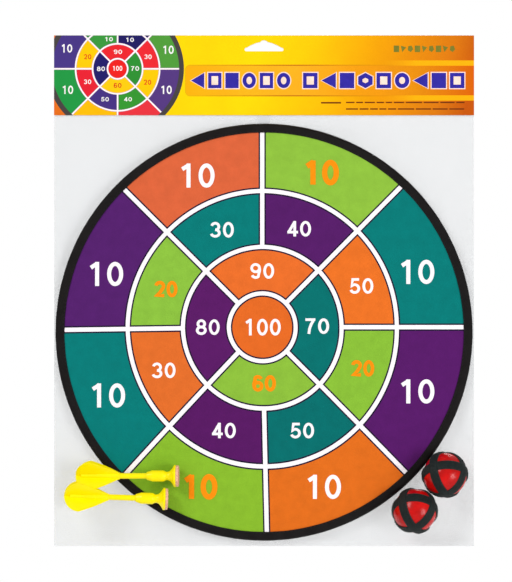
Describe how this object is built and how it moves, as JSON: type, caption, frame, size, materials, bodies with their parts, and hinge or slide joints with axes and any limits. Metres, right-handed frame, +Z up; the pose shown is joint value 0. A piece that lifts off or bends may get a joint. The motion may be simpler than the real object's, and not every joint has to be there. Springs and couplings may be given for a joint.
{
  "type": "hook-and-loop dartboard set",
  "caption": "Round printed loop-cloth target with a bound wire rim on a header card and clear bag, with hook-tipped darts and strapped hook balls.",
  "frame": {"origin": "top of the hang hole, where a peg carries the card", "axes": "+Z up; the printed face and the card's front look along -Y; +X to the right seen from the front"},
  "size_m": [0.366, 0.0404, 0.4454],
  "materials": {
    "printed_card": "satin printed card, yellow to orange",
    "clear_film": "clear glossy film",
    "tape": "clear flexible strap",
    "printed_loop_cloth": "brushed loop cloth with a printed target in teal, purple, orange and green",
    "foam": "soft closed-cell foam",
    "back_cloth": "plain woven cloth",
    "spring_wire": "drawn wire",
    "binding": "woven binding tape",
    "thread": "sewing thread",
    "dart_plastic": "glossy moulded",
    "hook_pad": "dense hook bristle",
    "ball_shell": "glossy moulded",
    "hook_strap": "hook tape bristle"
  },
  "bodies": {
    "pack": {"header_card": "printed_card", "bag_front_film": "clear_film", "bag_back_film": "clear_film", "loop_top": "tape"},
    "board": {"face_cloth": "printed_loop_cloth", "foam_core": "foam", "back_cloth": "back_cloth", "rim_wire": "spring_wire", "edge_binding": "binding", "front_stitch_row": "thread", "back_stitch_row": "thread", "loop_tab": "tape"},
    "dart_1": {"dart_1_flight": "dart_plastic", "dart_1_shaft": "dart_plastic", "dart_1_barrel": "dart_plastic", "dart_1_head": "dart_plastic", "dart_1_hook_pad": "hook_pad"},
    "dart_2": {"dart_2_flight": "dart_plastic", "dart_2_shaft": "dart_plastic", "dart_2_barrel": "dart_plastic", "dart_2_head": "dart_plastic", "dart_2_hook_pad": "hook_pad"},
    "ball_1": {"ball_1_half_a": "ball_shell", "ball_1_half_b": "ball_shell", "ball_1_strap_a": "hook_strap", "ball_1_strap_b": "hook_strap", "ball_1_strap_c": "hook_strap"},
    "ball_2": {"ball_2_half_a": "ball_shell", "ball_2_half_b": "ball_shell", "ball_2_strap_a": "hook_strap", "ball_2_strap_b": "hook_strap", "ball_2_strap_c": "hook_strap"}
  },
  "joints": [
    {"name": "board_swing", "type": "hinge", "parent": "pack", "child": "board", "pos_m": [0, -0.0009, -0.07], "axis": [-1, 0, 0], "range_deg": [0, 80]},
    {"name": "dart_1_pull", "type": "slide", "parent": "board", "child": "dart_1", "axis": [0, -0.7071, 0.7071], "range_m": [0, 0.2]},
    {"name": "dart_2_pull", "type": "slide", "parent": "board", "child": "dart_2", "axis": [0, -0.7071, -0.7071], "range_m": [0, 0.2]},
    {"name": "ball_1_pull", "type": "slide", "parent": "pack", "child": "ball_1", "axis": [0, -1, 0], "range_m": [0, 0.2]},
    {"name": "ball_2_pull", "type": "slide", "parent": "pack", "child": "ball_2", "axis": [0, -1, 0], "range_m": [0, 0.2]}
  ]
}
